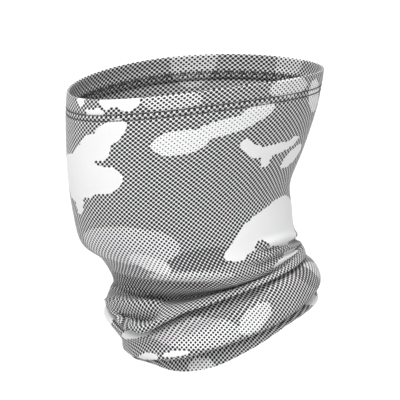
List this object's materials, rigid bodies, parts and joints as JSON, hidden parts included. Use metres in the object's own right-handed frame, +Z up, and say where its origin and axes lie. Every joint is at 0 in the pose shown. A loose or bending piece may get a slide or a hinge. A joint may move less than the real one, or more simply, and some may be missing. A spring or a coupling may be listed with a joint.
{
  "type": "neck gaiter",
  "caption": "Stretch-knit neck gaiter shown as worn: a hemmed cloth tube over nose, cheeks and nape that bunches in folds round the neck.",
  "frame": {"origin": "middle of the neck inside the folds, level with the crease of the upper neck fold", "axes": "+Z up through the middle of the top opening, the wearer faces -Y, +X is the wearer's left"},
  "size_m": [0.154, 0.1875, 0.2126],
  "materials": {
    "printed_knit": "matt polyester jersey with a halftone dot camouflage print in black on white",
    "turned_knit": "the same jersey turned in at the hems",
    "sewing_thread": "dark grey spun polyester thread",
    "label_satin": "white satin ribbon, blank"
  },
  "bodies": {
    "tube": {"tube_panel": "printed_knit", "bottom_hem": "turned_knit", "bottom_hem_upper_needle_thread": "sewing_thread", "bottom_hem_lower_needle_thread": "sewing_thread", "bottom_hem_looper_thread": "sewing_thread", "seam_left_needle_thread": "sewing_thread", "seam_right_needle_thread": "sewing_thread", "seam_cover_thread": "sewing_thread", "care_label_stitches": "sewing_thread"},
    "top_edge": {"top_hem": "turned_knit", "top_hem_upper_needle_thread": "sewing_thread", "top_hem_lower_needle_thread": "sewing_thread", "top_hem_looper_thread": "sewing_thread"},
    "label": {"care_label": "label_satin"}
  },
  "joints": [
    {"name": "top_edge_pull_down", "type": "slide", "parent": "tube", "child": "top_edge", "axis": [0, 0, -1], "range_m": [0, 0.045], "deforming": ["tube_panel", "seam_left_needle_thread", "seam_right_needle_thread", "seam_cover_thread"]},
    {"name": "care_label_flap", "type": "hinge", "parent": "tube", "child": "label", "pos_m": [-0.02752, 0.06221, 0.0185], "axis": [-0.7569, -0.6536, 0], "range_deg": [-30, 85]}
  ]
}
